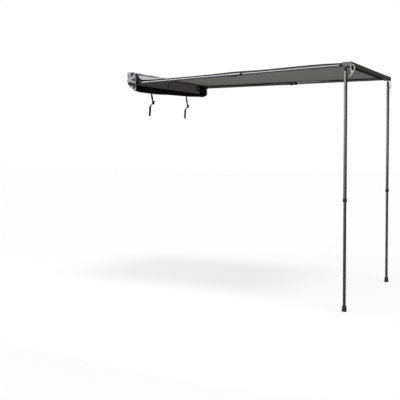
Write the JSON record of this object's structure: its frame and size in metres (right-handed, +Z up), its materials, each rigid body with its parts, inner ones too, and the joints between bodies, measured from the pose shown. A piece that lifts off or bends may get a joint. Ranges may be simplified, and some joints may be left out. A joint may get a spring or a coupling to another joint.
{
  "type": "vehicle side awning",
  "caption": "Side awning opened out: a wall rail with bag, a grey canopy on telescopic arms, and a front beam on telescopic legs.",
  "frame": {"origin": "middle of the rail's rear mounting face", "axes": "+X along the rail, +Y towards the rack that carries the rail, so the canopy reaches out along -Y, +Z up"},
  "size_m": [1.5604, 2.1371, 2.027],
  "materials": {
    "charcoal_coat": "satin charcoal powder coat",
    "silver_tube": "satin anodised",
    "black_plastic": "fine moulded texture",
    "grey_plastic": "moulded",
    "zinc_steel": "zinc plated",
    "black_steel": "satin black",
    "canopy_cloth": "coated grey canvas",
    "bag_cloth": "coated black cloth",
    "webbing": "woven",
    "cream_cord": "braided",
    "grey_cord": "braided"
  },
  "bodies": {
    "rail": {"back_rail": "charcoal_coat", "near_rail_cap": "black_plastic", "far_rail_cap": "black_plastic", "near_rack_bracket": "black_steel", "far_rack_bracket": "black_steel", "near_upper_rack_bolt": "zinc_steel", "near_lower_rack_bolt": "zinc_steel", "far_upper_rack_bolt": "zinc_steel", "far_lower_rack_bolt": "zinc_steel", "near_arm_clevis": "black_steel", "far_arm_clevis": "black_steel", "near_arm_pin": "zinc_steel", "far_arm_pin": "zinc_steel", "canopy": "canopy_cloth", "bag_lower_flap": "bag_cloth", "bag_far_end": "bag_cloth", "bag_top_flap": "bag_cloth", "bag_near_end": "bag_cloth", "near_bag_strap": "webbing", "far_bag_strap": "webbing", "near_strap_buckle": "black_plastic", "far_strap_buckle": "black_plastic"},
    "near_arm": {"near_arm_knuckle": "black_plastic", "near_arm_outer_tube": "silver_tube", "near_arm_lock_sleeve": "silver_tube"},
    "far_arm": {"far_arm_knuckle": "black_plastic", "far_arm_outer_tube": "silver_tube", "far_arm_lock_sleeve": "silver_tube"},
    "near_arm_lock": {"near_arm_lock_nut": "black_plastic"},
    "far_arm_lock": {"far_arm_lock_nut": "black_plastic"},
    "near_arm_rod": {"near_arm_guide_bush": "black_plastic", "near_arm_inner_tube": "silver_tube", "near_arm_tip": "black_plastic"},
    "far_arm_rod": {"far_arm_guide_bush": "black_plastic", "far_arm_inner_tube": "silver_tube", "far_arm_tip": "black_plastic"},
    "beam": {"front_beam": "charcoal_coat", "near_corner_cap": "grey_plastic", "far_corner_cap": "grey_plastic", "near_leg_pin": "zinc_steel", "far_leg_pin": "zinc_steel", "near_guy_cord": "cream_cord", "near_guy_knot": "cream_cord", "near_guy_tail": "cream_cord", "far_guy_cord": "grey_cord"},
    "near_leg": {"near_leg_fork": "black_plastic", "near_leg_upper_tube": "silver_tube", "near_leg_lock_sleeve": "black_plastic"},
    "far_leg": {"far_leg_fork": "black_plastic", "far_leg_upper_tube": "silver_tube", "far_leg_lock_sleeve": "black_plastic"},
    "near_leg_lock": {"near_leg_lock_nut": "black_plastic"},
    "far_leg_lock": {"far_leg_lock_nut": "black_plastic"},
    "near_leg_lower": {"near_leg_guide_bush": "black_plastic", "near_leg_lower_tube": "silver_tube", "near_leg_foot": "black_plastic"},
    "far_leg_lower": {"far_leg_guide_bush": "black_plastic", "far_leg_lower_tube": "silver_tube", "far_leg_foot": "black_plastic"}
  },
  "joints": [
    {"name": "beam_travel", "type": "slide", "parent": "rail", "child": "beam", "axis": [0, 1, 0], "range_m": [0, 0.8], "deforming": ["canopy"]},
    {"name": "near_arm_swing", "type": "hinge", "parent": "rail", "child": "near_arm", "pos_m": [-0.725, -0.062, -0.016], "axis": [0, 0.0357, 0.9994], "range_deg": [0, 90]},
    {"name": "near_arm_slide", "type": "slide", "parent": "near_arm", "child": "near_arm_rod", "axis": [0, 0.9994, -0.0357], "range_m": [0, 0.801]},
    {"name": "near_arm_lock_turn", "type": "hinge", "parent": "near_arm", "child": "near_arm_lock", "pos_m": [-0.725, -0.062, -0.016], "axis": [0, -0.9994, 0.0357], "range_deg": [0, 90]},
    {"name": "far_arm_swing", "type": "hinge", "parent": "rail", "child": "far_arm", "pos_m": [0.725, -0.062, 0.042], "axis": [0, -0.0066, -1], "range_deg": [0, 90]},
    {"name": "far_arm_slide", "type": "slide", "parent": "far_arm", "child": "far_arm_rod", "axis": [0, 1, -0.0066], "range_m": [0, 0.801]},
    {"name": "far_arm_lock_turn", "type": "hinge", "parent": "far_arm", "child": "far_arm_lock", "pos_m": [0.725, -0.062, 0.042], "axis": [0, -1, 0.0066], "range_deg": [0, 90]},
    {"name": "near_leg_fold", "type": "hinge", "parent": "beam", "child": "near_leg", "pos_m": [-0.725, -1.9878, 0.019], "axis": [0, -1, 0], "range_deg": [0, 90]},
    {"name": "near_leg_slide", "type": "slide", "parent": "near_leg", "child": "near_leg_lower", "axis": [0, 0, 1], "range_m": [0, 0.83]},
    {"name": "near_leg_lock_turn", "type": "hinge", "parent": "near_leg", "child": "near_leg_lock", "pos_m": [-0.725, -1.9878, 0.019], "axis": [0, 0, -1], "range_deg": [0, 90]},
    {"name": "far_leg_fold", "type": "hinge", "parent": "beam", "child": "far_leg", "pos_m": [0.725, -2.0222, 0.019], "axis": [0, 1, 0], "range_deg": [0, 90]},
    {"name": "far_leg_slide", "type": "slide", "parent": "far_leg", "child": "far_leg_lower", "axis": [0, 0, 1], "range_m": [0, 0.83]},
    {"name": "far_leg_lock_turn", "type": "hinge", "parent": "far_leg", "child": "far_leg_lock", "pos_m": [0.725, -2.0222, 0.019], "axis": [0, 0, -1], "range_deg": [0, 90]}
  ],
  "couplings": [
    {"joint": "near_arm_slide", "follows": "beam_travel", "ratio": 1.0006},
    {"joint": "far_arm_slide", "follows": "beam_travel", "ratio": 1}
  ]
}
